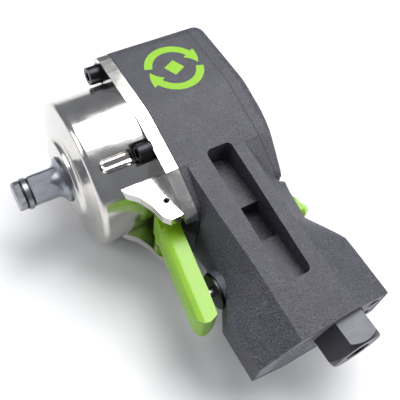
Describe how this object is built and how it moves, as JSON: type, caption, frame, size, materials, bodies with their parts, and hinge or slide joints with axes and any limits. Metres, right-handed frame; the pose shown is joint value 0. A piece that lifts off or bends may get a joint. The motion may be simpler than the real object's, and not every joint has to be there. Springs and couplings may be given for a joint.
{
  "type": "impact wrench",
  "caption": "Compact pneumatic impact wrench: square drive anvil, aluminium hammer case, composite handle, lever throttle, reverse switch and air inlet.",
  "frame": {"origin": "centre of the anvil nose end face, on the spindle axis", "axes": "+X back along the spindle towards the rear cover, +Y to the top of the head (the handle runs to -Y), +Z out of the left side, up when the tool lies on its right side"},
  "size_m": [0.1195, 0.171, 0.073],
  "materials": {
    "aluminium_cast": "polished",
    "tool_steel": "ground",
    "bearing_steel": "polished",
    "bronze": "satin",
    "composite": "textured",
    "green_plastic": "satin",
    "black_oxide": "black oxide",
    "screw_steel": "zinc plated",
    "rubber": "matt",
    "gasket_paper": "matt",
    "vane_composite": "matt",
    "brass_fittings": "machined",
    "inlet_steel": "phosphated",
    "felt": "felt",
    "cover_plastic": "satin"
  },
  "bodies": {
    "housing": {"hammer_case": "aluminium_cast", "anvil_bush": "bronze", "nose_seal": "rubber", "front_end_plate": "tool_steel", "rear_end_plate": "tool_steel", "front_bearing_outer_race": "bearing_steel", "rear_bearing_outer_race": "bearing_steel", "cylinder_liner": "tool_steel", "liner_dowel": "bearing_steel", "motor_housing": "composite", "front_inserts": "brass_fittings", "rear_inserts": "brass_fittings", "case_gasket": "gasket_paper", "rear_gasket": "gasket_paper", "rear_cover": "composite", "case_screws": "screw_steel", "case_screw_washers": "screw_steel", "rear_cover_screws": "black_oxide", "trigger_pin": "black_oxide", "throttle_bush": "black_oxide", "throttle_o_ring": "rubber", "throttle_seat": "brass_fittings", "throttle_spring": "bearing_steel", "detent_ball": "bearing_steel", "detent_spring": "bearing_steel", "base_cover": "cover_plastic", "inlet_bushing": "inlet_steel", "inlet_screen": "screw_steel", "muffler_felt": "felt", "base_screws": "black_oxide"},
    "rotor": {"rotor": "tool_steel", "rotor_vanes": "vane_composite", "hammer_cage": "tool_steel", "hammers": "tool_steel", "hammer_pins": "bearing_steel", "front_bearing_inner_race": "bearing_steel", "rear_bearing_inner_race": "bearing_steel", "front_bearing_balls": "bearing_steel", "rear_bearing_balls": "bearing_steel"},
    "anvil": {"anvil": "tool_steel", "friction_ring": "bearing_steel", "anvil_o_ring": "rubber"},
    "trigger": {"trigger_lever": "green_plastic"},
    "throttle": {"throttle_stem": "screw_steel"},
    "reverse": {"reverse_lever": "green_plastic", "reverse_valve": "brass_fittings", "reverse_o_ring": "rubber", "reverse_screw": "black_oxide"}
  },
  "joints": [
    {"name": "rotor_spin", "type": "hinge", "parent": "housing", "child": "rotor", "pos_m": [0.06, 0, 0], "axis": [1, 0, 0], "continuous": true},
    {"name": "anvil_spin", "type": "hinge", "parent": "housing", "child": "anvil", "pos_m": [0, 0, 0], "axis": [1, 0, 0], "continuous": true},
    {"name": "trigger_swing", "type": "hinge", "parent": "housing", "child": "trigger", "pos_m": [0.0535, -0.0435, 0], "axis": [0, 0, 1], "range_deg": [0, 4], "stiffness_Nm_per_rad": 2, "springref_deg": -5.73},
    {"name": "throttle_slide", "type": "slide", "parent": "housing", "child": "throttle", "axis": [1, 0, 0], "range_m": [0, 0.0029], "deforming": ["throttle_spring"]},
    {"name": "reverse_turn", "type": "hinge", "parent": "housing", "child": "reverse", "pos_m": [0.108, -0.061, 0], "axis": [1, 0, 0], "range_deg": [-20, 20]}
  ],
  "couplings": [
    {"joint": "anvil_spin", "follows": "rotor_spin", "ratio": 1},
    {"joint": "throttle_slide", "follows": "trigger_swing", "m_per_rad": 0.0395}
  ]
}
